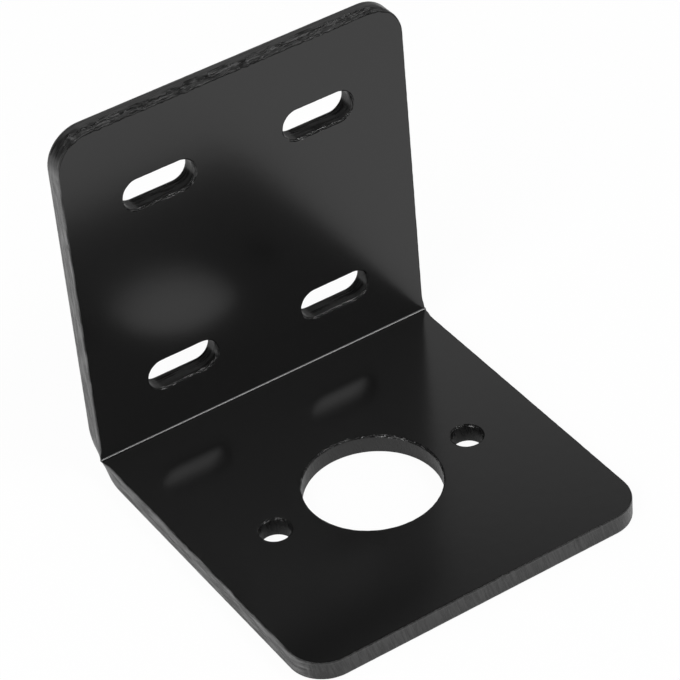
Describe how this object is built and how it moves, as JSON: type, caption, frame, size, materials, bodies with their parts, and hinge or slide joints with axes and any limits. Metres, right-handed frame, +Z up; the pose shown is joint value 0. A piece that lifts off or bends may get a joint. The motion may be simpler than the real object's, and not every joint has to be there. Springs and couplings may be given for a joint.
{
  "type": "motor mounting bracket",
  "caption": "Right-angle motor mounting bracket folded from thick steel sheet, with a pilot bore and screw holes in the base and bolt slots in the upright, painted gloss black.",
  "frame": {"origin": "on the underside of the base, in the middle of the overall width and depth", "axes": "+X along the bend, +Y from the front edge of the base back to the upright, +Z up along the upright and the motor axis"},
  "size_m": [0.073, 0.075, 0.075],
  "materials": {
    "black_paint": "gloss black paint on steel"
  },
  "bodies": {
    "root": {"motor_bracket": "black_paint"}
  },
  "joints": []
}
